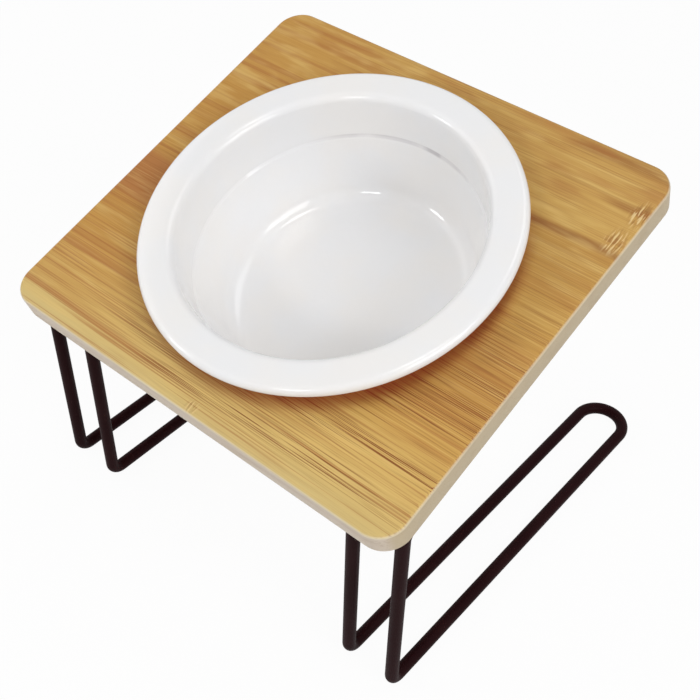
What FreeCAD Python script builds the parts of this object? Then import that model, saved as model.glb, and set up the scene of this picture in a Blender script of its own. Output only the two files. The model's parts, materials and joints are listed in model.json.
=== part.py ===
import FreeCAD, Part
import os
import re
import Sketcher

# Pet bowl stand: a tilted bamboo board on two hairpin wire legs, with a loose bowl hanging in its hole.
# Row frame: +X to the right, +Y to the back, +Z up, floor at zero, origin under the middle of the outline.
# Board frame: across the board, back along it from its front bottom edge, and up square to its underside.

doc = FreeCAD.newDocument("pet_bowl_stand")

# Driving dimensions in millimetres, angles in degrees, shares as plain ratios
driving = {
    # Board
    "board_width": "200",
    "board_depth": "185",
    "board_thickness": "12.5",
    "board_corner_radius": "11.5",
    "board_edge_round": "1.5",
    "tilt_angle": "18.5",
    "front_height": "98",
    "hole_edge_round": "0.8",
    # Hairpin legs
    "leg_inset": "15.9",
    "arm_hole_gap": "2.05",
    "wire_diameter": "5.6",
    "wire_spacing": "22.5",
    "wire_bend_radius": "5",
    "upright_setback": "12.3",
    "foot_length": "192",
    "arm_reach": "152",
    # Fixing tabs
    "tab_thickness": "2",
    "tab_length": "16",
    "tab_corner_radius": "2.5",
    "front_tab_setback": "36",
    "rear_tab_setback": "140",
    # Wood screws
    "screw_diameter": "3.5",
    "screw_grip": "8",
    "screw_point_length": "2.5",
    "screw_head_diameter": "7",
    "screw_head_height": "2.4",
    "screw_head_round": "1.6",
    "recess_span": "3.6",
    "recess_width": "0.9",
    "recess_depth": "1.2",
    "tab_hole_clearance": "0.25",
    "pilot_clearance": "0.05",
    "pilot_spare_depth": "0.6",
    # Bowl
    "seat_clearance": "0.3",
    "rim_rise": "11.1",
    "rim_overhang": "10",
    "lip_thickness": "4.2",
    "lip_top_share": "0.64",
    "lip_under_share": "0.33",
    "mouth_inset": "4.75",
    "mouth_round": "3.5",
    "wall_draft": "15.5",
    "wall_thickness": "4.6",
    "bowl_depth": "49.9",
    "ledge_depth": "20.5",
    "ledge_width": "0.8",
    "ledge_round_share": "0.6",
    "floor_round": "8",
    "flange_round": "4",
    "base_thickness": "4.5",
    "heel_round": "9",
    "foot_inset": "9.5",
    "foot_width": "4.5",
    "foot_height": "2",
    "foot_round": "0.7",
}

sheet = doc.addObject("Spreadsheet::Sheet", "Sizes")
for row, (alias, number) in enumerate(driving.items(), 1):
    sheet.set(f"A{row}", alias)
    sheet.set(f"B{row}", number)
    sheet.setAlias(f"B{row}", alias)
doc.recompute()

# Formulas that several pieces share
wire_radius = "(wire_diameter / 2)"
front_edge_overhang = "((board_thickness - board_edge_round) * sin(tilt_angle))"
front_round_overhang = "(board_edge_round * (1 - cos(tilt_angle)))"
front_edge_y = f"(({front_edge_overhang} + {front_round_overhang} - upright_setback - foot_length) / 2)"
leg_middle = "(board_width / 2 - leg_inset)"
leg_places = {"left": f"-{leg_middle}", "right": leg_middle}
hole_radius = f"({leg_middle} - wire_spacing / 2 - {wire_radius} - arm_hole_gap)"
tab_places = {"front": "front_tab_setback", "rear": "rear_tab_setback"}

pieces = []
upward = FreeCAD.Vector(0, 0, 1)


def on_sheet(formula):
    """The same formula with every size read from the sheet."""
    return re.sub(r"[a-z_]+", lambda word: f"Sizes.{word[0]}" if word[0] in driving else word[0], formula)


def value(formula):
    return float(sheet.evalExpression(on_sheet(formula)))


def bind(item, path, formula):
    item.setExpression(path, on_sheet(formula))


def new_piece(label):
    body = doc.addObject("PartDesign::Body", label)
    body.Label = label
    pieces.append(body)
    return body


def place(body, across, back, up):
    """Puts a piece at a place of the row frame."""
    for axis, formula in zip("xyz", (across, back, up)):
        bind(body, f"Placement.Base.{axis}", formula)


def place_on_board(body, across, back, up):
    """Puts a piece at a place of the board frame, square to the board."""
    turn = FreeCAD.Rotation(FreeCAD.Vector(1, 0, 0), value("tilt_angle"))
    body.Placement = FreeCAD.Placement(FreeCAD.Vector(), turn)
    bind(body, "Placement.Rotation.Angle", "tilt_angle")
    place(
        body,
        across,
        f"{front_edge_y} + ({back}) * cos(tilt_angle) - ({up}) * sin(tilt_angle)",
        f"front_height + ({back}) * sin(tilt_angle) + ({up}) * cos(tilt_angle)",
    )


def new_sketch(body, name, plane, offset="0"):
    """A sketch on one of the piece's own planes, moved along that plane's normal."""
    sketch = body.newObject("Sketcher::SketchObject", f"{body.Name}_{name}")
    support = next(item for item in body.Origin.OriginFeatures if item.Role == plane)
    sketch.AttachmentSupport = (support, "")
    sketch.MapMode = "FlatFace"
    bind(sketch, "AttachmentOffset.Base.z", offset)
    doc.recompute()
    return sketch


def dimension(sketch, constraint, formula):
    index = sketch.addConstraint(constraint)
    bind(sketch, f"Constraints[{index}]", formula)


def pin_point(sketch, line, end, across, up):
    """Fixes one point of a line, arc or circle at a place given by two formulas."""
    for kind, formula, axis in (("DistanceX", across, -2), ("DistanceY", up, -1)):
        if formula == "0":
            sketch.addConstraint(Sketcher.Constraint("PointOnObject", line, end, axis))
        else:
            dimension(sketch, Sketcher.Constraint(kind, -1, 1, line, end, value(formula)), formula)


def draw_outline(sketch, corners):
    """A closed outline of straight sides through corners given by formulas."""
    points = [FreeCAD.Vector(value(across), value(up), 0) for across, up in corners]
    lines = [sketch.addGeometry(Part.LineSegment(*ends)) for ends in zip(points, points[1:] + points[:1])]
    for line, before, (across, up) in zip(lines, lines[-1:] + lines[:-1], corners):
        sketch.addConstraint(Sketcher.Constraint("Coincident", before, 2, line, 1))
        pin_point(sketch, line, 1, across, up)


def draw_rectangle(sketch, left, right, front, back):
    draw_outline(sketch, [(left, front), (right, front), (right, back), (left, back)])


def draw_circle(sketch, across, up, radius):
    centre = FreeCAD.Vector(value(across), value(up), 0)
    circle = sketch.addGeometry(Part.Circle(centre, upward, value(radius)))
    pin_point(sketch, circle, 3, across, up)
    dimension(sketch, Sketcher.Constraint("Radius", circle, value(radius)), radius)


def draw_bent_line(sketch, corners, bend_radius):
    """An open line through corners given by formulas, rounded at each bend."""
    points = [FreeCAD.Vector(value(across), value(up), 0) for across, up in corners]
    lines = [sketch.addGeometry(Part.LineSegment(*ends)) for ends in zip(points, points[1:])]
    for line, after in zip(lines, lines[1:]):
        sketch.addConstraint(Sketcher.Constraint("Coincident", line, 2, after, 1))
    for line in lines[:-1]:
        sketch.fillet(line, 2, value(bend_radius), True, True)
    bends = [index for index, item in enumerate(sketch.Geometry) if isinstance(item, Part.Point)]
    arcs = [index for index, item in enumerate(sketch.Geometry) if isinstance(item, Part.ArcOfCircle)]
    pinned = [(lines[0], 1), *((bend, 1) for bend in bends), (lines[-1], 2)]
    for (line, end), (across, up) in zip(pinned, corners):
        pin_point(sketch, line, end, across, up)
    for arc in arcs:
        dimension(sketch, Sketcher.Constraint("Radius", arc, value(bend_radius)), bend_radius)


def pad(body, name, sketch, length, downwards=False):
    feature = body.newObject("PartDesign::Pad", f"{body.Name}_{name}")
    feature.Profile = sketch
    feature.Reversed = downwards
    bind(feature, "Length", length)
    doc.recompute()
    return feature


def pocket(body, name, sketch, depth=None):
    """Cuts a sketch upwards into the piece, or both ways right through, and stops if it takes nothing away."""
    before = body.Shape.Volume
    feature = body.newObject("PartDesign::Pocket", f"{body.Name}_{name}")
    feature.Profile = sketch
    if depth:
        feature.Reversed = True
        bind(feature, "Length", depth)
    else:
        feature.Type = "ThroughAll"
        feature.Midplane = True
    doc.recompute()
    if not feature.Shape.Volume < before:
        raise RuntimeError(f"{feature.Name} cuts nothing")
    return feature


def revolve(body, name, sketch, degrees):
    """Turns a sketch about its own upright axis."""
    feature = body.newObject("PartDesign::Revolution", f"{body.Name}_{name}")
    feature.Profile = sketch
    feature.ReferenceAxis = (sketch, ["V_Axis"])
    feature.Angle = degrees
    doc.recompute()
    return feature


def round_edges(body, name, base, radius, wanted):
    """Rounds the edges of a feature that pass a test."""
    names = [f"Edge{index}" for index, edge in enumerate(base.Shape.Edges, 1) if wanted(edge)]
    feature = body.newObject("PartDesign::Fillet", f"{body.Name}_{name}")
    feature.Base = (base, names)
    bind(feature, "Radius", radius)
    doc.recompute()
    return feature


def same(first, second):
    return abs(first - second) <= 1e-6 * max(abs(first), abs(second), 1)


def upright_edge(edge):
    start, end = edge.firstVertex().Point, edge.lastVertex().Point
    return same(start.x, end.x) and same(start.y, end.y) and not same(start.z, end.z)


def ring(radius, height):
    """A test for the circular edge of a turned piece at one corner of its profile."""

    def wanted(edge):
        curve = edge.Curve
        if not isinstance(curve, Part.Circle):
            return False
        return same(curve.Radius, value(radius)) and same(curve.Center.z, value(height))

    return wanted


def make_board():
    """Bamboo panel with rounded corners, a round hole for the bowl and blind pilot holes underneath."""
    body = new_piece("bamboo_board")
    place_on_board(body, "0", "0", "0")
    outline = new_sketch(body, "outline", "XY_Plane")
    draw_rectangle(outline, "-board_width / 2", "board_width / 2", "0", "board_depth")
    panel = pad(body, "panel", outline, "board_thickness")
    corners = round_edges(body, "corners", panel, "board_corner_radius", upright_edge)
    round_edges(body, "edges", corners, "board_edge_round", lambda edge: not upright_edge(edge))

    opening = new_sketch(body, "opening", "XY_Plane")
    draw_circle(opening, "0", "board_depth / 2", hole_radius)
    hole = pocket(body, "hole", opening)
    for name, height in (("hole_underside", "0"), ("hole_top", "board_thickness")):
        hole = round_edges(body, name, hole, "hole_edge_round", ring(hole_radius, height))

    pilots = new_sketch(body, "pilots", "XY_Plane")
    for across in leg_places.values():
        for back in tab_places.values():
            draw_circle(pilots, across, back, "screw_diameter / 2 + pilot_clearance")
    pocket(body, "pilot_holes", pilots, "screw_grip + pilot_spare_depth")


def make_bowl():
    """Glazed bowl turned from one profile: broad flat rim, faint fill ledge, tapered wall and foot ring."""
    rim_underside = "(rim_rise - lip_thickness)"
    ledge = "(rim_rise - ledge_depth)"
    floor = "(rim_rise - bowl_depth)"
    base = f"({floor} - base_thickness)"
    foot = f"({base} - foot_height)"

    def outer_wall(height):
        """The taper that wedges in the hole, at a height above the board's top."""
        return f"({hole_radius} - seat_clearance + {height} * tan(wall_draft))"

    def inner_wall(height):
        return f"({outer_wall(height)} - wall_thickness / cos(wall_draft))"

    mouth_radius = f"({hole_radius} - mouth_inset)"
    rim_radius = f"({hole_radius} + rim_overhang)"
    foot_radius = f"({outer_wall(base)} - foot_inset)"
    foot_inside = f"({foot_radius} - foot_width)"

    body = new_piece("bowl")
    place_on_board(body, "0", "board_depth / 2", "board_thickness")
    profile = new_sketch(body, "profile", "XZ_Plane")
    draw_outline(
        profile,
        [
            ("0", floor),
            (inner_wall(floor), floor),
            (inner_wall(ledge), ledge),
            (f"{inner_wall(ledge)} + ledge_width", ledge),
            (mouth_radius, "rim_rise"),
            (rim_radius, "rim_rise"),
            (rim_radius, rim_underside),
            (outer_wall(rim_underside), rim_underside),
            (outer_wall(base), base),
            (foot_radius, base),
            (foot_radius, foot),
            (foot_inside, foot),
            (foot_inside, base),
            ("0", base),
        ],
    )
    shape = revolve(body, "turned", profile, 360)
    rounds = [
        ("rim_top", "lip_thickness * lip_top_share", rim_radius, "rim_rise"),
        ("rim_bottom", "lip_thickness * lip_under_share", rim_radius, rim_underside),
        ("mouth", "mouth_round", mouth_radius, "rim_rise"),
        ("ledge", "ledge_width * ledge_round_share", inner_wall(ledge), ledge),
        ("floor", "floor_round", inner_wall(floor), floor),
        ("under_rim", "flange_round", outer_wall(rim_underside), rim_underside),
        ("heel", "heel_round", outer_wall(base), base),
        ("foot_outside", "foot_round", foot_radius, foot),
        ("foot_inside", "foot_round", foot_inside, foot),
    ]
    for name, radius, across, height in rounds:
        shape = round_edges(body, name, shape, radius, ring(across, height))


def make_leg(side, across):
    """One bent wire: two arms under the board, two uprights, two floor runs and a round bend at the rear."""
    run_end = f"(foot_length - {wire_radius} - wire_spacing / 2)"
    arm_end_y = f"arm_reach * cos(tilt_angle) + {wire_radius} * sin(tilt_angle) - upright_setback"
    arm_end_z = f"front_height + arm_reach * sin(tilt_angle) - {wire_radius} * cos(tilt_angle)"
    arm_corner_z = f"front_height + upright_setback * tan(tilt_angle) - {wire_radius} / cos(tilt_angle)"

    body = new_piece(f"{side}_leg_wire")
    place(body, across, f"{front_edge_y} + upright_setback", "0")
    path = new_sketch(body, "path", "YZ_Plane", "wire_spacing / 2")
    bends = [("0", wire_radius), ("0", arm_corner_z)]
    draw_bent_line(path, [(run_end, wire_radius), *bends, (arm_end_y, arm_end_z)], "wire_bend_radius")
    section = new_sketch(body, "section", "XZ_Plane", f"-{run_end}")
    draw_circle(section, "wire_spacing / 2", wire_radius, wire_radius)
    doc.recompute()

    half = body.newObject("PartDesign::AdditivePipe", f"{body.Name}_half")
    half.Profile = section
    half.Spine = (path, [f"Edge{index}" for index in range(1, len(path.Shape.Edges) + 1)])
    doc.recompute()
    revolve(body, "rear_bend", section, 180)
    other_half = body.newObject("PartDesign::Mirrored", f"{body.Name}_other_half")
    middle = next(item for item in body.Origin.OriginFeatures if item.Role == "YZ_Plane")
    other_half.Originals = [half]
    other_half.MirrorPlane = (middle, [""])
    body.Tip = other_half
    doc.recompute()


def make_tab(name, across, back):
    """Flat steel tab between the two arms of a leg, level with their tops against the board's underside."""
    half_width = "(wire_spacing / 2 - sqrt(tab_thickness * (wire_diameter - tab_thickness)))"
    half_length = "(tab_length / 2)"
    body = new_piece(f"{name}_tab")
    place_on_board(body, across, back, "0")
    outline = new_sketch(body, "outline", "XY_Plane")
    draw_rectangle(outline, f"-{half_width}", half_width, f"-{half_length}", half_length)
    plate = pad(body, "plate", outline, "tab_thickness", downwards=True)
    round_edges(body, "corners", plate, "tab_corner_radius", upright_edge)
    centre = new_sketch(body, "centre", "XY_Plane")
    draw_circle(centre, "0", "0", "screw_diameter / 2 + tab_hole_clearance")
    pocket(body, "screw_hole", centre)


def make_screw(name, across, back):
    """Pan-head wood screw up through a tab into the board, with a cross recess in its head."""
    shank = "(screw_diameter / 2)"
    head = "(screw_head_diameter / 2)"
    head_face = "(-tab_thickness - screw_head_height)"
    reach = "(recess_span / 2)"
    slot = "(recess_width / 2)"
    body = new_piece(f"{name}_screw")
    place_on_board(body, across, back, "0")
    profile = new_sketch(body, "profile", "XZ_Plane")
    draw_outline(
        profile,
        [
            ("0", "screw_grip"),
            (shank, "screw_grip - screw_point_length"),
            (shank, "-tab_thickness"),
            (head, "-tab_thickness"),
            (head, head_face),
            ("0", head_face),
        ],
    )
    turned = revolve(body, "turned", profile, 360)
    round_edges(body, "head_edge", turned, "screw_head_round", ring(head, head_face))
    cross = new_sketch(body, "cross", "XY_Plane", head_face)
    quarter = [(reach, f"-{slot}"), (reach, slot), (slot, slot)]
    draw_outline(cross, quarter_turns(quarter))
    pocket(body, "recess", cross, "recess_depth")


def quarter_turns(corners):
    """Repeats corners at four quarter turns about the middle."""
    outline = []
    for _ in range(4):
        outline += corners
        corners = [(f"-{up}" if up[0] != "-" else up[1:], across) for across, up in corners]
    return outline


make_board()
make_bowl()
for side, across in leg_places.items():
    make_leg(side, across)
    for end, back in tab_places.items():
        make_tab(f"{side}_{end}", across, back)
        make_screw(f"{side}_{end}", across, back)

doc.recompute()
failed = [item.Name for item in doc.Objects if {"Invalid", "Error"} & set(item.State)]
failed += [body.Label for body in pieces if body.Shape.isNull() or not body.Shape.isValid()]
if failed:
    raise RuntimeError(f"failed: {failed}")

os.makedirs("parts", exist_ok=True)
for body in pieces:
    body.Shape.exportStep(f"parts/{body.Label}.step")
    box = body.Shape.BoundBox
    print(
        f"{body.Label}: {len(body.Shape.Solids)} solid, {body.Shape.Volume / 1000:.2f} cm3,"
        f" x {box.XMin:.1f} to {box.XMax:.1f}, y {box.YMin:.1f} to {box.YMax:.1f}, z {box.ZMin:.1f} to {box.ZMax:.1f}"
    )
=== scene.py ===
import json
import math

import bpy
import numpy as np
from mathutils import Matrix, Vector


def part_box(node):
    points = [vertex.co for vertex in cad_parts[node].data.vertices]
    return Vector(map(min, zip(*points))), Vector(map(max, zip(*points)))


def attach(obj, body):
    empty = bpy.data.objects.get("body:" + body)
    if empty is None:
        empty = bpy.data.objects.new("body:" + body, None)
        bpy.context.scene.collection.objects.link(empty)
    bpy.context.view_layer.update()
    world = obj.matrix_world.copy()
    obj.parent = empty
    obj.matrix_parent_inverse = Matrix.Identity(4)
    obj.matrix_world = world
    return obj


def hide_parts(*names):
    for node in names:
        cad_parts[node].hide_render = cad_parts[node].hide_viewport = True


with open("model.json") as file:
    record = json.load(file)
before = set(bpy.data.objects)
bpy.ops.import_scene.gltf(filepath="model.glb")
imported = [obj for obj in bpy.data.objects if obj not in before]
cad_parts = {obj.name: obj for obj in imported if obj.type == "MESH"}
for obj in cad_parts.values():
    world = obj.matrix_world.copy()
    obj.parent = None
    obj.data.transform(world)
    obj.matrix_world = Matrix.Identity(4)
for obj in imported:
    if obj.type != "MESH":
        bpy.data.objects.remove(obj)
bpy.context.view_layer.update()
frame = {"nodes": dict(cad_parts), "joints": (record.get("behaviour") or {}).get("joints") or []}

# the board's own axes: across it, back up its slope, and up square to it
lift = np.array(frame["joints"][0]["axis"], float)
across = np.array([1.0, 0.0, 0.0])
back = np.cross(lift, across)
axes = np.stack([across, back, lift])
tilt = math.atan2(-lift[1], lift[2])
toMm = 1000  # board materials measure in millimetres, everything else in metres


def nodePoints(name):
    # corners of a CAD node's mesh, as rows in the row frame
    mesh = frame["nodes"][name].data
    flat = np.empty(len(mesh.vertices) * 3)
    mesh.vertices.foreach_get("co", flat)
    return flat.reshape(-1, 3)


def boardSpan(name):
    # lowest and highest corner of a node along the board's own axes
    local = nodePoints(name) @ axes.T
    return local.min(axis=0), local.max(axis=0)


boardLow, boardHigh = boardSpan("bamboo_board")
bowlLow, bowlHigh = boardSpan("bowl")
boardSize = boardHigh - boardLow
middle = (boardLow + boardHigh) / 2
print("frame: board", np.round(boardSize * toMm, 2), "tilt", round(math.degrees(tilt), 2))


# mesh helpers
def fromBoard(local):
    # places along the board's own axes, turned into the row frame
    return local @ axes


def gridMesh(name, points, closeU=True, closeV=True, capStart=False, capEnd=False):
    # points[i, j] is a grid of places: i runs along the path, j round the section
    rows, columns = points.shape[:2]
    index = np.arange(rows * columns).reshape(rows, columns)
    down = np.roll(index, -1, axis=0)
    side = np.roll(index, -1, axis=1)
    both = np.roll(down, -1, axis=1)
    quads = np.stack([index, side, both, down], axis=-1)
    quads = quads[: None if closeU else -1, : None if closeV else -1].reshape(-1, 4)
    faces = quads.tolist()
    if capStart:
        faces.append(index[0].tolist()[::-1])
    if capEnd:
        faces.append(index[-1].tolist())
    mesh = bpy.data.meshes.new(name)
    mesh.from_pydata(points.reshape(-1, 3), [], faces)
    mesh.polygons.foreach_set("use_smooth", np.ones(len(faces), bool))
    mesh.update()
    return mesh


def addPiece(name, mesh, body, slot, material, *nodes):
    piece = bpy.data.objects.new(name, mesh)
    bpy.context.scene.collection.objects.link(piece)
    piece.data.materials.append(material)
    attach(piece, body)
    if nodes:
        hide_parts(*nodes)
    return piece


# shader helpers
def feed(tree, socket, given):
    # another node's output is linked, and anything else becomes the input's own value
    if isinstance(given, bpy.types.NodeSocket):
        tree.links.new(given, socket)
    else:
        socket.default_value = given


def put(tree, kind, inputs=None, **settings):
    item = tree.nodes.new(kind)
    for key, setting in settings.items():
        setattr(item, key, setting)
    for key, given in (inputs or {}).items():
        feed(tree, item.inputs[key], given)
    return item


def place(tree, group, inputs=None):
    return put(tree, "ShaderNodeGroup", inputs, node_tree=group).outputs


def calc(tree, operation, first, second=0.0, third=0.0):
    return put(tree, "ShaderNodeMath", {0: first, 1: second, 2: third}, operation=operation).outputs[0]


def smooth(tree, given, low, high):
    # 0 before low, 1 past high, with a soft step between; low may be the larger one
    ease = {"Value": given, "From Min": low, "From Max": high}
    return put(tree, "ShaderNodeMapRange", ease, interpolation_type="SMOOTHSTEP").outputs["Result"]


def mixColour(tree, share, first, second):
    item = put(tree, "ShaderNodeMix", data_type="RGBA")
    inputs = {socket.identifier: socket for socket in item.inputs}
    for key, given in (("Factor_Float", share), ("A_Color", first), ("B_Color", second)):
        feed(tree, inputs[key], given)
    return next(socket for socket in item.outputs if socket.identifier == "Result_Color")


def ramp(tree, given, stops):
    item = put(tree, "ShaderNodeValToRGB", {"Fac": given})
    elements = item.color_ramp.elements
    while len(elements) < len(stops):
        elements.new(1.0)
    for element, (position, colour) in zip(elements, stops):
        element.position = position
        element.color = colour
    return item.outputs["Color"]


def addBump(tree, shader, height, strength, depth):
    bump = put(tree, "ShaderNodeBump", {"Height": height, "Strength": strength, "Distance": depth})
    feed(tree, shader.inputs["Normal"], bump.outputs["Normal"])


def linear(red, green, blue):
    # a colour written as 0 to 255 screen values, as the shader's own linear light
    screen = np.array([red, green, blue]) / 255
    light = np.where(screen <= 0.04045, screen / 12.92, ((screen + 0.055) / 1.055) ** 2.4)
    return (*light.tolist(), 1.0)


def newMaterial(name, **fixed):
    material = bpy.data.materials.new(name)
    material.use_nodes = True
    tree = material.node_tree
    shader = tree.nodes["Principled BSDF"]
    for key, given in fixed.items():
        shader.inputs[key.replace("_", " ")].default_value = given
    return material, tree, shader


def newGroup(name, inputs, outputs):
    group = bpy.data.node_groups.new(name, "ShaderNodeTree")
    for label, kind in inputs:
        group.interface.new_socket(label, in_out="INPUT", socket_type=kind)
    for label, kind in outputs:
        group.interface.new_socket(label, in_out="OUTPUT", socket_type=kind)
    start = group.nodes.new("NodeGroupInput")
    end = group.nodes.new("NodeGroupOutput")
    return group, start.outputs, end.inputs


# board space: places in millimetres across, back and up from the middle of the board's front bottom edge
def makeBoardSpace():
    lengths = [(label, "NodeSocketFloat") for label in ("Across", "Back", "Up")]
    group, _, result = newGroup("boardSpace", [], [("Place", "NodeSocketVector"), *lengths])
    start = np.array([middle[0], boardLow[1], boardLow[2]])
    turned = {"Location": (-start * toMm).tolist(), "Rotation": (-tilt, 0, 0), "Scale": (toMm, toMm, toMm)}
    where = put(group, "ShaderNodeTexCoord").outputs["Object"]
    local = put(group, "ShaderNodeMapping", {"Vector": where, **turned}).outputs["Vector"]
    split = put(group, "ShaderNodeSeparateXYZ", {"Vector": local}).outputs
    feed(group, result["Place"], local)
    for label, axis in (("Across", "X"), ("Back", "Y"), ("Up", "Z")):
        feed(group, result[label], split[axis])
    return group


# streaks: a noise whose grain is drawn out along the board
def makeStreaks():
    sizes = [(label, "NodeSocketFloat") for label in ("Length", "Width", "Detail", "Seed")]
    inputs = [("Place", "NodeSocketVector"), *sizes]
    group, given, result = newGroup("streaks", inputs, [("Value", "NodeSocketFloat")])
    along = calc(group, "DIVIDE", 1.0, given["Length"])
    wide = calc(group, "DIVIDE", 1.0, given["Width"])
    scale = put(group, "ShaderNodeCombineXYZ", {"X": along, "Y": wide, "Z": wide}).outputs[0]
    stretched = {0: given["Place"], 1: scale}
    drawn = put(group, "ShaderNodeVectorMath", stretched, operation="MULTIPLY").outputs[0]
    moved = put(group, "ShaderNodeVectorMath", {0: drawn, 1: given["Seed"]}, operation="ADD").outputs[0]
    texture = {"Vector": moved, "Scale": 1.0, "Detail": given["Detail"], "Roughness": 0.55}
    feed(group, result["Value"], put(group, "ShaderNodeTexNoise", texture).outputs["Fac"])
    return group


# fine grain: a small even mottle and broader patches, for glaze, coat, plating and cut bamboo
def makeFineGrain():
    group, given, result = newGroup(
        "fineGrain",
        [("Place", "NodeSocketVector"), ("Size", "NodeSocketFloat"), ("Patch", "NodeSocketFloat")],
        [("Grain", "NodeSocketFloat"), ("Patches", "NodeSocketFloat")],
    )
    for label, size, detail in (("Grain", "Size", 2.0), ("Patches", "Patch", 3.0)):
        scale = calc(group, "DIVIDE", 1.0, given[size])
        texture = {"Vector": given["Place"], "Scale": scale, "Detail": detail}
        feed(group, result[label], put(group, "ShaderNodeTexNoise", texture).outputs["Fac"])
    return group


boardSpace = makeBoardSpace()
streaks = makeStreaks()
fineGrain = makeFineGrain()


# bamboo, with lengths in millimetres on the board
vesselBrown = linear(158, 130, 98)
bambooLook = dict(
    strips=[  # share of the board's depth from the front, and the glued strip's colour there
        (0.00, linear(208, 184, 122)),
        (0.04, linear(208, 178, 110)),
        (0.10, linear(212, 178, 105)),
        (0.21, linear(200, 157, 82)),
        (0.33, linear(190, 142, 70)),
        (0.46, linear(188, 141, 73)),
        (0.50, linear(195, 151, 77)),
        (0.74, linear(190, 146, 74)),
        (0.78, linear(200, 159, 86)),
        (1.00, linear(191, 149, 79)),
    ],
    wanderReach=6.0,  # how far the strips wander to the front and back
    noises=dict(  # length along the board, width across the grain, detail and seed
        wander=(70.0, 14.0, 1.0, 3.0),
        broad=(52.0, 4.5, 3.0, 11.0),
        cloud=(30.0, 8.0, 2.0, 19.0),
        bands=(170.0, 3.6, 1.0, 31.0),
        fine=(38.0, 0.6, 2.0, 23.0),
        lines=(48.0, 0.42, 0.5, 41.0),
        reds=(130.0, 0.8, 1.0, 67.0),
        patch=(75.0, 9.0, 1.0, 57.0),
        marks=(0.75, 6.0, 1.0, 83.0),
    ),
    fibres=dict(dark=linear(138, 82, 38), red=linear(164, 102, 50), pale=linear(225, 192, 119)),
    figure=[  # noise, where it begins and is full, fibre, strength, and the masks that hold it back
        ("bands", (0.52, 0.64), "red", 0.50, ["leftwards"]),
        ("broad", (0.50, 0.74), "red", 0.30, []),
        ("broad", (0.48, 0.28), "pale", 0.34, []),
        ("cloud", (0.52, 0.72), "red", 0.42, ["rear"]),
        ("cloud", (0.46, 0.30), "pale", 0.34, ["rear"]),
        ("fine", (0.52, 0.72), "dark", 0.50, ["calm", "clear"]),
        ("fine", (0.46, 0.28), "pale", 0.36, ["calm"]),
        ("reds", (0.57, 0.66), "red", 0.55, ["front"]),
    ],
    tones=dict(  # colour, and its strength where it is fullest
        leftSide=(linear(186, 135, 61), 0.60),
        redBand=(linear(170, 108, 58), 0.75),
        redLine=(linear(166, 104, 48), 0.50),
        knuckle=(linear(164, 102, 50), 0.12),
        knuckleDark=(linear(132, 84, 42), 0.52),
        knucklePale=(linear(232, 206, 150), 0.75),
        endDots=(vesselBrown, 0.35),
        endPatches=(vesselBrown, 0.12),
        sideFine=(vesselBrown, 0.30),
        sideBroad=(vesselBrown, 0.24),
        edgeLight=(linear(236, 228, 206), 0.40),
    ),
    spans=dict(  # where a soft step begins and where it is full
        leftSide=(-15.0, -85.0),
        pastFrontStrip=(7.0, 12.0),
        redBandFront=(61.0, 67.0),
        redBandRear=(89.0, 84.0),
        redBandLeft=(100.0, -80.0),
        redLineLeft=(30.0, -60.0),
        rear=(85.0, 135.0),
        front=(125.0, 55.0),
        rightwards=(-75.0, 5.0),
        clear=(3.0, 11.0),
        crispLines=(0.555, 0.62),
        crispPatch=(0.38, 0.58),
        crispStrip=(5.0, 11.0),
        knuckleOval=(1.1, 0.4),
        knuckleDark=(0.53, 0.62),
        knucklePale=(0.47, 0.38),
        endDots=(0.30, 0.12),
        endPatches=(0.45, 0.70),
        sideFine=(0.50, 0.70),
        sideBroad=(0.48, 0.70),
        underside=(0.9, 0.2),
        # painted shadow under the bowl's rim, as a ring round the hole, deepest towards the front right
        rimShadowRing=(82.0, 74.0),
        rimShadowFront=(-40.0, 45.0),
    ),
    inFrom=dict(  # the same, measured inwards from the board's top or ends
        top=(1.3, 0.35),
        ends=(4.0, 1.0),
        edgeBelow=(1.5, 0.9),
        edgeAbove=(0.15, 0.5),
    ),
    gains=dict(  # what a mask adds where it is full, and the least
        calmLeft=(0.5, 0.5),
        front=(0.78, 0.24),
        clear=(0.65, 0.35),
        crispLeft=(0.82, 0.18),
        # painted shadow under the bowl's rim, stronger towards the front right and uneven in patches
        rimShadowFront=(0.62, 0.05),
        rimShadowPatch=(0.9, 0.6),
    ),
    calmRear=0.45,
    redLine=(9.0, 1.2, 0.3),  # place back from the front, and how far off it begins and is full
    darkStreaks=[  # place back, how far off it begins, start across, strength
        (140.0, 3.2, 46.0, 0.85),
        (163.0, 3.0, 74.0, 0.6),
        (180.5, 4.5, 48.0, 0.6),
    ],
    darkStreak=linear(140, 84, 36),
    streakCore=0.5,
    streakStart=16.0,
    knuckles=[  # across, back, half sizes, strength
        (95.0, 146.0, 5.0, 7.5, 1.0),
        (96.5, 161.0, 4.5, 8.0, 1.0),
        (5.0, 3.0, 3.4, 3.6, 0.7),
    ],
    sideGrain=linear(205, 190, 172),
    endGrain=linear(190, 173, 143),
    dotScale=1.4,
    mottle={"Size": 0.6, "Patch": 9.0},
    # painted shadow under the bowl's rim: its colour, and the way its ring is deepest
    rimShadow=linear(146, 56, 30),
    rimShadowWay=(0.5, -0.85),  # the ring is deepest towards here, as shares across and back
    rough=(0.16, 0.42),  # what the fine noise adds, and the least
    crispDepth=1.4,
    markHeight=1.5,
    bump=(0.3, 0.0002),  # strength and depth
)


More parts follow.
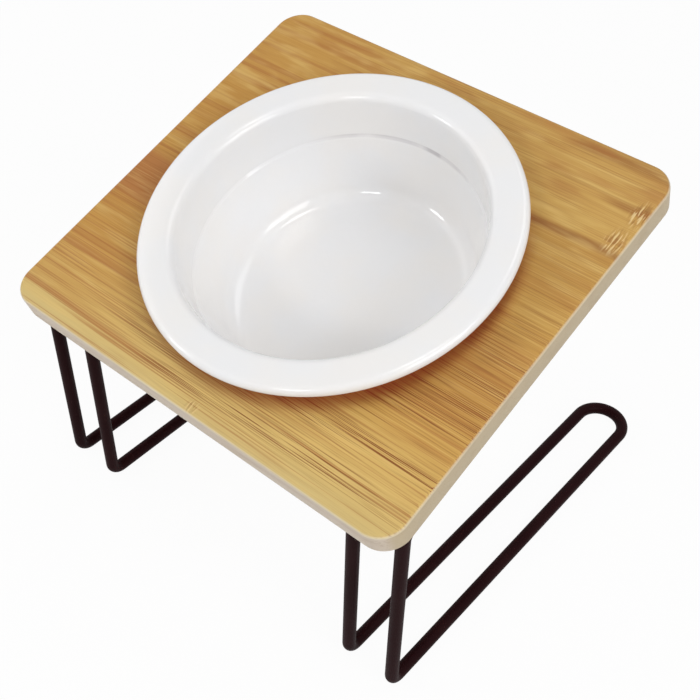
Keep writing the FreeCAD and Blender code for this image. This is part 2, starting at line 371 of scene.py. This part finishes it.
def makeBamboo():
    look = bambooLook
    material, tree, shader = newMaterial("bambooLacquered", IOR=1.46, Specular_IOR_Level=0.3)
    space = place(tree, boardSpace)
    where, sideways, backward, upward = (space[label] for label in ("Place", "Across", "Back", "Up"))
    width, depth, thickness = (boardSize * toMm).tolist()

    def drawn(name):
        sizes = zip(("Length", "Width", "Detail", "Seed"), look["noises"][name])
        return place(tree, streaks, {"Place": where, **dict(sizes)})["Value"]

    def times(*shares):
        total = shares[0]
        for share in shares[1:]:
            total = calc(tree, "MULTIPLY", total, share)
        return total

    def scaled(share, gain, least):
        return calc(tree, "MULTIPLY_ADD", share, gain, least)

    def gained(share, name):
        return scaled(share, *look["gains"][name])

    def span(given, name):
        return smooth(tree, given, *look["spans"][name])

    def inFrom(given, limit, name):
        return smooth(tree, given, *(limit - inset for inset in look["inFrom"][name]))

    def over(colour, name, *shares):
        tone, strength = look["tones"][name]
        return mixColour(tree, times(*shares, strength), colour, tone)

    def nearLine(line, begins, full):
        apart = calc(tree, "ABSOLUTE", calc(tree, "SUBTRACT", bent, line))
        return smooth(tree, apart, begins, full)

    noise = {name: drawn(name) for name in look["noises"]}

    # glued strips, lighter towards the front and deeper in tone towards the left
    bent = scaled(calc(tree, "SUBTRACT", noise["wander"], 0.5), look["wanderReach"], backward)
    colour = ramp(tree, calc(tree, "DIVIDE", bent, depth), look["strips"])
    colour = over(colour, "leftSide", span(sideways, "leftSide"), span(bent, "pastFrontStrip"))

    # reddish strip towards the left, thin line along the front strip, dark streaks at the right
    band = times(span(bent, "redBandFront"), span(bent, "redBandRear"))
    colour = over(colour, "redBand", band, span(sideways, "redBandLeft"))
    colour = over(colour, "redLine", nearLine(*look["redLine"]), span(sideways, "redLineLeft"))
    for line, begins, start, strength in look["darkStreaks"]:
        streak = nearLine(line, begins, look["streakCore"])
        streak = times(streak, smooth(tree, sideways, start, start + look["streakStart"]), strength)
        colour = mixColour(tree, streak, colour, look["darkStreak"])

    # masks: cloudier at the rear, calmer at the left and in the front strip, crisper in the front half
    rear = span(backward, "rear")
    rightwards = span(sideways, "rightwards")
    calm = calc(tree, "SUBTRACT", 1.0, times(rear, look["calmRear"]))
    masks = dict(
        rear=rear,
        leftwards=calc(tree, "SUBTRACT", 1.0, rightwards),
        calm=times(calm, gained(rightwards, "calmLeft")),
        front=gained(span(backward, "front"), "front"),
        clear=gained(span(bent, "clear"), "clear"),
    )

    # broad soft figure, then fine fibres, then crisp vessel lines
    for name, (begins, full), fibre, strength, held in look["figure"]:
        shares = [smooth(tree, noise[name], begins, full), *(masks[key] for key in held), strength]
        colour = mixColour(tree, times(*shares), colour, look["fibres"][fibre])
    crisp = times(span(noise["lines"], "crispLines"), span(noise["patch"], "crispPatch"), masks["front"])
    crisp = times(crisp, gained(rightwards, "crispLeft"), span(bent, "crispStrip"))
    colour = mixColour(tree, crisp, colour, look["fibres"]["dark"])

    # knuckles: short marks drawn out across the grain, inside soft ovals
    ovals = 0.0
    for middleAcross, middleBack, wide, deep, strength in look["knuckles"]:
        away = calc(tree, "DIVIDE", calc(tree, "SUBTRACT", sideways, middleAcross), wide)
        along = calc(tree, "DIVIDE", calc(tree, "SUBTRACT", backward, middleBack), deep)
        far = calc(tree, "SQRT", calc(tree, "ADD", times(away, away), times(along, along)))
        ovals = calc(tree, "MAXIMUM", times(span(far, "knuckleOval"), strength), ovals)
    colour = over(colour, "knuckle", ovals)
    colour = over(colour, "knuckleDark", span(noise["marks"], "knuckleDark"), ovals)
    colour = over(colour, "knucklePale", span(noise["marks"], "knucklePale"), ovals)

    # pale cut faces: end grain with vessel dots at the sides, plain side grain at the front and rear
    faces = calc(tree, "MAXIMUM", inFrom(upward, thickness, "top"), span(upward, "underside"))
    ends = inFrom(calc(tree, "ABSOLUTE", sideways), width / 2, "ends")
    cells = {"Vector": where, "Scale": look["dotScale"], "Randomness": 1.0}
    dots = put(tree, "ShaderNodeTexVoronoi", cells).outputs["Distance"]
    mottle = place(tree, fineGrain, {"Place": where, **look["mottle"]})["Patches"]
    endTone = over(look["endGrain"], "endDots", span(dots, "endDots"))
    endTone = over(endTone, "endPatches", span(mottle, "endPatches"))
    sideTone = over(look["sideGrain"], "sideFine", span(noise["fine"], "sideFine"))
    sideTone = over(sideTone, "sideBroad", span(noise["broad"], "sideBroad"))
    colour = mixColour(tree, faces, mixColour(tree, ends, sideTone, endTone), colour)

    # painted shadow: a dark reddish ring round the hole and on the hole's own wall, standing for the shade
    # under the bowl's rim, deepest towards the front right
    fromMiddle = calc(tree, "SUBTRACT", backward, depth / 2)
    ring = calc(tree, "SQRT", calc(tree, "ADD", times(sideways, sideways), times(fromMiddle, fromMiddle)))
    wayAcross, wayBack = look["rimShadowWay"]
    towards = calc(tree, "ADD", times(sideways, wayAcross), times(fromMiddle, wayBack))
    uneven = times(gained(span(towards, "rimShadowFront"), "rimShadowFront"), gained(noise["patch"], "rimShadowPatch"))
    colour = mixColour(tree, times(span(ring, "rimShadowRing"), uneven), colour, look["rimShadow"])

    # light caught by the rounded edge of the top
    edge = times(inFrom(upward, thickness, "edgeBelow"), inFrom(upward, thickness, "edgeAbove"))
    feed(tree, shader.inputs["Base Color"], over(colour, "edgeLight", edge))

    feed(tree, shader.inputs["Roughness"], scaled(noise["fine"], *look["rough"]))
    height = calc(tree, "SUBTRACT", noise["fine"], times(crisp, look["crispDepth"]))
    height = calc(tree, "ADD", height, times(noise["marks"], ovals, look["markHeight"]))
    addBump(tree, shader, height, *look["bump"])
    return material


# bowl profile
bowlShape = dict(
    lipThickness=4.2e-3,
    lipTopShare=0.64,
    lipUnderShare=0.33,
    mouthInset=14.75e-3,
    mouthRound=3.5e-3,
    wallDraft=math.radians(15.5),
    wallThickness=4.6e-3,
    seatRadius=67.7e-3,
    depth=49.9e-3,
    ledgeDepth=20.5e-3,
    ledgeWidth=0.5e-3,
    ledgeDrop=1.4e-3,
    ledgeRound=1.0e-3,
    floorRound=8.0e-3,
    underRimRound=4.0e-3,
    baseThickness=4.5e-3,
    heelRound=9.0e-3,
    footInset=9.5e-3,
    footWidth=4.5e-3,
    footHeight=2.0e-3,
    footRound=0.7e-3,
    footCorner=0.4e-3,
    arcSteps=8,
    longest=2.5e-3,  # step along the profile
    spokes=256,
)

# glazed ceramic, with lengths in millimetres on the board
glazeLook = dict(
    white=linear(240, 238, 236),
    cool=linear(238, 238, 239),
    coolSpan=(0.35, 0.65),
    grain={"Size": 3.0, "Patch": 34.0},
    line=linear(172, 166, 170),
    lineUp=-0.2,  # from the ledge's own height
    lineSpan=(1.2, 0.4),  # distance from that height where it begins and is full
    lineGrain={"Size": 9.0, "Patch": 22.0},
    brokenSpan=(0.40, 0.62),
    behind=(15.0, 35.0),  # back from the bowl's middle
    faintAcross=(-50.0, -30.0, 12.0, 32.0),  # where the line begins, is full, fades and ends
    faint=(0.20, 0.12),  # what the patches add, and the least
    markAcross=(-4.0, 1.5, 5.5, 8.0),
    mark=0.40,
    everywhere=0.05,
    bare=linear(214, 200, 180),
    bareUp=(1.1, 0.7),  # up from the foot
    rough=(0.04, 0.04),  # what the grain adds, and the least
    bareRough=0.6,
    bump=(0.06, 0.0006),  # strength and depth
)


def makeGlaze():
    look = glazeLook
    material, tree, shader = newMaterial("whiteGlaze", IOR=1.5)
    space = place(tree, boardSpace)
    grain = place(tree, fineGrain, {"Place": space["Place"], **look["grain"]})
    colour = mixColour(tree, smooth(tree, grain["Patches"], *look["coolSpan"]), look["white"], look["cool"])

    def between(begins, full, fades, ends):
        rising = smooth(tree, space["Across"], begins, full)
        return calc(tree, "MULTIPLY", rising, smooth(tree, space["Across"], ends, fades))

    # a faint broken grey line at the ledge, along its rear and darkest in one short mark
    lineUp = (bowlHigh[2] - bowlShape["ledgeDepth"] - boardLow[2]) * toMm + look["lineUp"]
    fromLine = calc(tree, "ABSOLUTE", calc(tree, "SUBTRACT", space["Up"], lineUp))
    broken = place(tree, fineGrain, {"Place": space["Place"], **look["lineGrain"]})["Patches"]
    broken = calc(tree, "MULTIPLY_ADD", smooth(tree, broken, *look["brokenSpan"]), *look["faint"])
    behind = smooth(tree, space["Back"], *(boardSize[1] * toMm / 2 + past for past in look["behind"]))
    faint = calc(tree, "MULTIPLY", between(*look["faintAcross"]), broken)
    mark = calc(tree, "MULTIPLY_ADD", between(*look["markAcross"]), look["mark"], faint)
    ledgeGrey = calc(tree, "MULTIPLY_ADD", mark, behind, look["everywhere"])
    ledgeGrey = calc(tree, "MULTIPLY", smooth(tree, fromLine, *look["lineSpan"]), ledgeGrey)
    colour = mixColour(tree, ledgeGrey, colour, look["line"])

    # the foot that it stood on in the kiln is bare
    footUp = (bowlLow[2] - boardLow[2]) * toMm
    bare = smooth(tree, space["Up"], *(footUp + above for above in look["bareUp"]))
    feed(tree, shader.inputs["Base Color"], mixColour(tree, bare, colour, look["bare"]))
    rough = calc(tree, "MULTIPLY_ADD", grain["Grain"], *look["rough"])
    feed(tree, shader.inputs["Roughness"], calc(tree, "MULTIPLY_ADD", bare, look["bareRough"], rough))
    addBump(tree, shader, grain["Grain"], *look["bump"])
    return material


# powder coat, with lengths in metres
coatLook = dict(
    dark=linear(30, 6, 8),
    worn=linear(42, 18, 19),
    wornSpan=(0.4, 0.75),
    wornShare=0.5,
    grain={"Size": 0.0005, "Patch": 0.03},
    rough=(0.25, 0.38),  # what the grain adds, and the least
    bump=(0.35, 0.0001),  # strength and depth
)


def makePowderCoat():
    look = coatLook
    material, tree, shader = newMaterial("powderCoat", IOR=1.5, Specular_IOR_Level=0.05)
    where = put(tree, "ShaderNodeTexCoord").outputs["Object"]
    grain = place(tree, fineGrain, {"Place": where, **look["grain"]})
    worn = calc(tree, "MULTIPLY", smooth(tree, grain["Patches"], *look["wornSpan"]), look["wornShare"])
    feed(tree, shader.inputs["Base Color"], mixColour(tree, worn, look["dark"], look["worn"]))
    feed(tree, shader.inputs["Roughness"], calc(tree, "MULTIPLY_ADD", grain["Grain"], *look["rough"]))
    addBump(tree, shader, grain["Grain"], *look["bump"])
    return material


# zinc plate, with lengths in metres
zincLook = dict(
    bright=linear(196, 197, 200),
    dull=linear(150, 150, 152),
    grain={"Size": 0.0004, "Patch": 0.003},
    rough=(0.25, 0.22),  # what the grain adds, and the least
    bump=(0.15, 0.00005),  # strength and depth
)


def makeZinc():
    look = zincLook
    material, tree, shader = newMaterial("zincPlate", Metallic=1.0)
    where = put(tree, "ShaderNodeTexCoord").outputs["Object"]
    grain = place(tree, fineGrain, {"Place": where, **look["grain"]})
    feed(tree, shader.inputs["Base Color"], mixColour(tree, grain["Patches"], look["bright"], look["dull"]))
    feed(tree, shader.inputs["Roughness"], calc(tree, "MULTIPLY_ADD", grain["Grain"], *look["rough"]))
    addBump(tree, shader, grain["Grain"], *look["bump"])
    return material


bamboo = makeBamboo()
glaze = makeGlaze()
powderCoat = makePowderCoat()
zinc = makeZinc()
print("materials:", ", ".join(material.name for material in (bamboo, glaze, powderCoat, zinc)))


# rounded profiles and bent paths
def roundCorners(corners, radii, steps):
    # an open line through the corners, each one replaced by an arc that touches both of its sides
    corners = np.array(corners, float)
    runs = [corners[:1]]
    for before, corner, after, radius in zip(corners, corners[1:], corners[2:], radii):
        inward = (before - corner) / np.linalg.norm(before - corner)
        outward = (after - corner) / np.linalg.norm(after - corner)
        half = math.acos(np.clip(inward @ outward, -1, 1)) / 2
        bisector = (inward + outward) / np.linalg.norm(inward + outward)
        centre = corner + bisector * radius / math.sin(half)
        side = inward - bisector * (inward @ bisector)
        side = side / np.linalg.norm(side)
        turn = np.linspace(1, -1, steps + 1)[:, None] * (math.pi / 2 - half)
        runs.append(centre + radius * (np.sin(turn) * side - np.cos(turn) * bisector))
    runs.append(corners[-1:])
    return np.concatenate(runs)


def denser(line, longest):
    # the same line with points added so that no step is longer than the limit
    steps = np.linalg.norm(np.diff(line, axis=0), axis=1)
    counts = np.maximum(np.ceil(steps / longest).astype(int), 1)
    start = np.repeat(np.arange(len(counts)), counts)
    within = np.arange(counts.sum()) - np.repeat(np.cumsum(counts) - counts, counts)
    share = (within / counts[start])[:, None]
    return np.concatenate([line[start] * (1 - share) + line[start + 1] * share, line[-1:]])


# bowl
def makeBowl():
    # place = the profile's radius turned through an angle about the hole's axis, at the profile's height
    shape = bowlShape
    rim = (bowlHigh[0] - bowlLow[0]) / 2
    axisBack = (bowlLow[1] + bowlHigh[1]) / 2
    top = bowlHigh[2]
    seat = boardHigh[2]
    lip = shape["lipThickness"]
    low = top - lip
    ledge = top - shape["ledgeDepth"]
    ledgeFoot = ledge - shape["ledgeDrop"]
    floor = top - shape["depth"]
    base = floor - shape["baseThickness"]
    foot = base - shape["footHeight"]
    slope = math.tan(shape["wallDraft"])
    wall = shape["wallThickness"] / math.cos(shape["wallDraft"])

    def outer(height):
        return shape["seatRadius"] + (height - seat) * slope

    def inner(height):
        return outer(height) - wall

    footOut = outer(base) - shape["footInset"]
    footIn = footOut - shape["footWidth"]
    corners = [  # radius, height and rounding, from the middle of the floor to the middle of the underside
        (0, floor, 0),
        (inner(floor), floor, shape["floorRound"]),
        (inner(ledgeFoot), ledgeFoot, shape["ledgeRound"]),
        (inner(ledge) + shape["ledgeWidth"], ledge, shape["ledgeRound"]),
        (rim - shape["mouthInset"], top, shape["mouthRound"]),
        (rim, top, lip * shape["lipTopShare"]),
        (rim, low, lip * shape["lipUnderShare"]),
        (outer(low), low, shape["underRimRound"]),
        (outer(base), base, shape["heelRound"]),
        (footOut, base, shape["footCorner"]),
        (footOut, foot, shape["footRound"]),
        (footIn, foot, shape["footRound"]),
        (footIn, base, shape["footCorner"]),
        (0, base, 0),
    ]
    places = [corner[:2] for corner in corners]
    radii = [corner[2] for corner in corners[1:-1]]
    line = denser(roundCorners(places, radii, shape["arcSteps"]), shape["longest"])
    line = line[-2:0:-1]  # turned round so that faces point outwards, less its two ends
    angle = np.linspace(0, 2 * math.pi, shape["spokes"], endpoint=False)
    radius, height = line[:, None, 0], line[:, None, 1]
    turned = radius * np.cos(angle), axisBack + radius * np.sin(angle), height
    local = np.stack(np.broadcast_arrays(*turned), axis=-1)
    mesh = gridMesh("bowlBody", fromBoard(local), closeU=False, capStart=True, capEnd=True)
    return addPiece("bowlBody", mesh, "bowl", "glaze", glaze, "bowl")


bowl = makeBowl()
print("bowl:", len(bowl.data.polygons), "faces")


# board
boardShape = dict(
    cornerRadius=11.5e-3,
    edgeRound=1.5e-3,
    holeRadius=68.0e-3,
    holeRound=0.8e-3,
    cornerSteps=20,
    edgeSteps=6,
    sideStep=2.0e-3,
    besideEdge=0.01,  # share of the way across a face where one more ring keeps the shading flat
    faceShares=(0.1, 0.9),  # the first and last of the other rings across a face
    faceRings=9,
)


def makeBoard():
    # place = (1 - share) x hole ring + share x outline ring, at the profile's height; the profile runs out
    # over the top, down the rounded edge, in under the board and up the hole, and is then turned round
    shape = boardShape
    reach = boardSize[:2] / 2 - shape["cornerRadius"]
    turn = np.linspace(0, math.pi / 2, shape["cornerSteps"] + 1)
    signs = np.array([(1, 1), (-1, 1), (-1, -1), (1, -1)])
    cores, normals = [], []
    for quarter in range(4):
        corner, following = reach * signs[quarter], reach * signs[(quarter + 1) % 4]
        angle = turn + quarter * math.pi / 2
        cores.append(np.tile(corner, (len(angle), 1)))
        normals.append(np.stack([np.cos(angle), np.sin(angle)], axis=1))
        steps = int(np.linalg.norm(corner - following) / shape["sideStep"])
        share = np.linspace(0, 1, steps)[1:-1, None]
        cores.append(corner * (1 - share) + following * share)
        normals.append(np.tile(normals[-1][-1], (len(share), 1)))
    core, normal = np.concatenate(cores), np.concatenate(normals)
    edge = core + shape["cornerRadius"] * normal
    spoke = edge / np.linalg.norm(edge, axis=1, keepdims=True)

    def stretch(share, wide, inset, height):
        return np.stack(np.broadcast_arrays(np.atleast_1d(share), wide, inset, height), axis=1)

    top, bottom = boardHigh[2], boardLow[2]
    soft, eased = shape["edgeRound"], shape["holeRound"]
    bend = np.linspace(0, math.pi / 2, shape["edgeSteps"] + 1)
    over, under = 1 - np.sin(bend), 1 - np.cos(bend)
    near = shape["besideEdge"]
    rings = np.linspace(*shape["faceShares"], shape["faceRings"])
    shares = np.concatenate([[0, near], rings, [1 - near, 1.0]])
    profile = np.concatenate([
        stretch(shares, eased, soft, top),
        stretch(1.0, eased, soft * over[1:], top - soft * under[1:]),
        stretch(1.0, eased, soft * under, bottom + soft * over),
        stretch(shares[-2::-1], eased, soft, bottom),
        stretch(0.0, eased * over[1:], soft, bottom + eased * under[1:]),
        stretch(0.0, eased * under[:-1], soft, top - eased * over[:-1]),
    ])[::-1]
    share, wide, inset, height = profile.T[:, :, None, None]
    holeRing = spoke * (shape["holeRadius"] + wide)
    outline = core + (shape["cornerRadius"] - inset) * normal
    flat = (1 - share) * holeRing + share * outline
    local = np.concatenate([flat + middle[:2], np.broadcast_to(height, (*flat.shape[:2], 1))], axis=-1)
    mesh = gridMesh("bambooPanel", fromBoard(local))
    return addPiece("bambooPanel", mesh, "stand", "bamboo", bamboo, "bamboo_board")


board = makeBoard()
print("board:", len(board.data.polygons), "faces")


# hairpin legs
legShape = dict(
    diameter=5.6e-3,
    bendRadius=5.0e-3,
    loopShare=0.9999,  # of half the wires' distance, so that the U-bend's two arcs only just don't meet
    sides=28,
    bendSteps=14,
    longest=6.0e-3,  # step along the wire
    shortest=2.0e-5,  # a point nearer than this to the one before is dropped
    endRound=0.5e-3,
    endStep=0.4e-3,  # length of the rounded end
)


def tubeAlong(line, radius, sides, endRound):
    # place = path + radius x (cos x first normal + sin x second normal); the first normal is square to the
    # path and to the line across, which swaps ends half way so that nothing twists in the U-bend
    tangent = np.gradient(line, axis=0)
    tangent /= np.linalg.norm(tangent, axis=1, keepdims=True)
    swap = np.where(np.arange(len(line)) < len(line) / 2, 1.0, -1.0)[:, None]
    nudge = np.array([0, 0, 1e-6])  # keeps the first normal off zero in mid U-bend
    first = np.cross(tangent, swap * across) - nudge
    first -= tangent * np.sum(first * tangent, axis=1, keepdims=True)
    first /= np.linalg.norm(first, axis=1, keepdims=True)
    second = np.cross(tangent, first)
    angle = np.linspace(0, 2 * math.pi, sides, endpoint=False)[None, :, None]
    girth = np.full(len(line), radius)
    girth[0] = girth[-1] = radius - endRound
    ring = np.cos(angle) * first[:, None] + np.sin(angle) * second[:, None]
    return line[:, None] + girth[:, None, None] * ring


def makeLeg(side):
    # one wire: arm under the board, upright, floor run, U-bend, and the same back again
    shape = legShape
    node = f"{side}_leg_wire"
    radius = shape["diameter"] / 2
    low, high = (np.array(corner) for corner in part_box(node))
    _, spanHigh = boardSpan(node)
    front = low[1] + radius
    rear = high[1] - radius
    first, last = low[0] + radius, high[0] - radius
    end = fromBoard(np.array([0, spanHigh[1], boardLow[2] - radius]))
    cornerUp = end[2] - (end[1] - front) * math.tan(tilt)  # where the arm's line meets the upright's
    floorUp = low[2] + radius
    oneSide = [(end[1], end[2]), (front, cornerUp), (front, floorUp), (rear, floorUp)]
    corners = [(first, *point) for point in oneSide] + [(last, *point) for point in oneSide[::-1]]
    bend, loop = shape["bendRadius"], (last - first) / 2 * shape["loopShare"]
    line = roundCorners(corners, [bend, bend, loop, loop, bend, bend], shape["bendSteps"])
    apart = np.linalg.norm(np.diff(line, axis=0), axis=1) > shape["shortest"]
    line = denser(line[np.concatenate([[True], apart])], shape["longest"])
    start = line[0] + (line[1] - line[0]) / np.linalg.norm(line[1] - line[0]) * shape["endStep"]
    stop = line[-1] + (line[-2] - line[-1]) / np.linalg.norm(line[-2] - line[-1]) * shape["endStep"]
    line = np.concatenate([line[:1], start[None], line[1:-1], stop[None], line[-1:]])
    points = tubeAlong(line, radius, shape["sides"], shape["endRound"])
    mesh = gridMesh(f"{side}LegWire", points, closeU=False, capStart=True, capEnd=True)
    return addPiece(f"{side}LegWire", mesh, "stand", "powder_coat", powderCoat, node)


legs = [makeLeg("left"), makeLeg("right")]
print("legs:", [len(leg.data.polygons) for leg in legs], "faces")


# weld beads between the tabs and the wires
weldShape = dict(
    length=9.0e-3,
    girth=0.9e-3,
    tip=2.0e-5,  # least girth, at its two ends
    bluntness=8,  # the higher, the blunter its two ends
    ripples=7,
    ripple=0.10,  # share of the girth
    rings=40,
    sides=14,
)


def makeWelds(side, end):
    # place = seam + girth round it, where the girth swells in ripples and closes in at both ends
    shape = weldShape
    low, high = boardSpan(f"{side}_{end}_tab")
    along = np.linspace(-1, 1, shape["rings"])
    closing = (1 - along ** shape["bluntness"]) ** 0.5
    swelling = 1 + shape["ripple"] * np.cos(math.pi * shape["ripples"] * along)
    girth = np.maximum(shape["girth"] * closing * swelling, shape["tip"])
    angle = np.linspace(0, 2 * math.pi, shape["sides"], endpoint=False)
    seamBack = (low[1] + high[1]) / 2 + along * shape["length"] / 2
    label = f"{side}{end.title()}Weld"
    pieces = []
    for seamAcross in (low[0], high[0]):
        local = np.stack(np.broadcast_arrays(
            seamAcross + girth[:, None] * np.cos(angle),
            seamBack[:, None],
            low[2] + girth[:, None] * np.sin(angle),
        ), axis=-1)[:, ::-1]
        mesh = gridMesh(label, fromBoard(local), closeU=False, capStart=True, capEnd=True)
        name = f"{label}{len(pieces) + 1}"
        pieces.append(addPiece(name, mesh, "stand", "powder_coat", powderCoat))
    return pieces


welds = [piece for side in ("left", "right") for end in ("front", "rear") for piece in makeWelds(side, end)]
print("welds:", len(welds))


# tabs and screws keep their CAD solids
for name, item in frame["nodes"].items():
    if name.endswith(("_tab", "_screw")):
        item.data.materials.clear()
        item.data.materials.append(powderCoat if name.endswith("_tab") else zinc)


# floor, light and camera
studio = dict(
    floorSize=6.0,
    floorLines=9,
    floorTone=(0.86, 0.86, 0.86, 1.0),
    floorGlow=0.95,  # share of plain white that the camera sees in the floor
    worldLight=0.27,
    aim=Vector((0, -0.02, 0.12)),
    lamps=[  # name, way towards it from the aim, distance, watts, width and height
        ("topLamp", (0.10, -0.20, 0.97), 1.15, 1.3, 0.25, 0.25),
        ("sideLamp", (0.82, -0.22, 0.53), 1.3, 7.2, 0.8, 0.8),
        ("fillLamp", (-0.84, -0.26, 0.48), 1.3, 3.6, 1.1, 1.1),
        ("faceLamp", (0.05, -0.85, 0.52), 1.4, 0.6, 1.3, 1.3),
        ("rightLamp", (0.76, -0.11, 0.64), 1.2, 0.6, 0.40, 0.04),
        ("frontLamp", (0.10, -0.88, 0.46), 1.2, 1.6, 0.28, 0.16),
        ("leftLamp", (-0.65, -0.71, 0.29), 1.2, 2.0, 0.24, 0.24),
        ("rearLamp", (0.05, 0.43, 0.90), 1.2, 2.0, 0.6, 0.6),
    ],
)


def seenDirectly(tree):
    # 1 for what the camera sees, straight on or by reflection, and 0 for light that falls on something
    path = put(tree, "ShaderNodeLightPath").outputs
    seen = calc(tree, "MAXIMUM", path["Is Camera Ray"], path["Is Glossy Ray"])
    return calc(tree, "MAXIMUM", seen, path["Is Transmission Ray"])


def makeFloor():
    lines = np.linspace(-studio["floorSize"], studio["floorSize"], studio["floorLines"])
    grid = np.stack(np.meshgrid(lines, lines, [0.0], indexing="ij"), axis=-1)[:, :, 0]
    mesh = gridMesh("studioFloor", grid[::-1], closeU=False, closeV=False)
    material = bpy.data.materials.new("studioFloor")
    material.use_nodes = True
    tree = material.node_tree
    tree.nodes.remove(tree.nodes["Principled BSDF"])
    matt = put(tree, "ShaderNodeBsdfDiffuse", {"Color": studio["floorTone"]}).outputs[0]
    white = put(tree, "ShaderNodeEmission", {"Color": (1, 1, 1, 1), "Strength": 1.0}).outputs[0]
    share = calc(tree, "MULTIPLY", seenDirectly(tree), studio["floorGlow"])
    mixed = put(tree, "ShaderNodeMixShader", {0: share, 1: matt, 2: white}).outputs[0]
    feed(tree, tree.nodes["Material Output"].inputs["Surface"], mixed)
    mesh.materials.append(material)
    floor = bpy.data.objects.new("studioFloor", mesh)
    bpy.context.scene.collection.objects.link(floor)


def makeLight():
    world = bpy.data.worlds.new("studioWorld")
    world.use_nodes = True
    tree = world.node_tree
    shade = tree.nodes["Background"]
    shade.inputs["Color"].default_value = (1, 1, 1, 1)
    dim = studio["worldLight"]
    feed(tree, shade.inputs["Strength"], calc(tree, "MULTIPLY_ADD", seenDirectly(tree), 1.0 - dim, dim))
    bpy.context.scene.world = world
    aim = studio["aim"]
    for name, way, distance, watts, width, height in studio["lamps"]:
        lamp = bpy.data.lights.new(name, "AREA")
        lamp.energy = watts
        lamp.shape = "RECTANGLE"
        lamp.size = width
        lamp.size_y = height
        item = bpy.data.objects.new(name, lamp)
        item.location = aim + Vector(way).normalized() * distance
        item.rotation_euler = (aim - item.location).to_track_quat("-Z", "Y").to_euler()
        bpy.context.scene.collection.objects.link(item)


photoView = dict(
    eye=(0.236325, -0.293564, 0.423067),
    azimuth=39.1505,  # degrees
    elevation=43.5836,
    roll=1.7334,
    lens=59.65,  # millimetres
    sensor=36.0,
    shift=-0.001,
    nearest=0.01,
)


def makeCamera():
    view = photoView
    turn, drop, roll = (math.radians(view[key]) for key in ("azimuth", "elevation", "roll"))
    ahead = Vector((-math.sin(turn) * math.cos(drop), math.cos(turn) * math.cos(drop), -math.sin(drop)))
    level = ahead.cross(Vector((0, 0, 1))).normalized()
    upright = level.cross(ahead)
    right = level * math.cos(roll) + upright * math.sin(roll)
    up = right.cross(ahead)
    data = bpy.data.cameras.new("photoCamera")
    data.sensor_width = view["sensor"]
    data.lens = view["lens"]
    data.shift_x = view["shift"]
    data.clip_start = view["nearest"]
    camera = bpy.data.objects.new("photoCamera", data)
    turned = Matrix((right, up, -ahead)).transposed().to_4x4()
    camera.matrix_world = Matrix.Translation(view["eye"]) @ turned
    bpy.context.scene.collection.objects.link(camera)
    bpy.context.scene.camera = camera


makeFloor()
makeLight()
makeCamera()
bpy.context.scene.view_settings.view_transform = "Standard"
print("studio: floor, world,", len(studio["lamps"]), "lamps and camera")
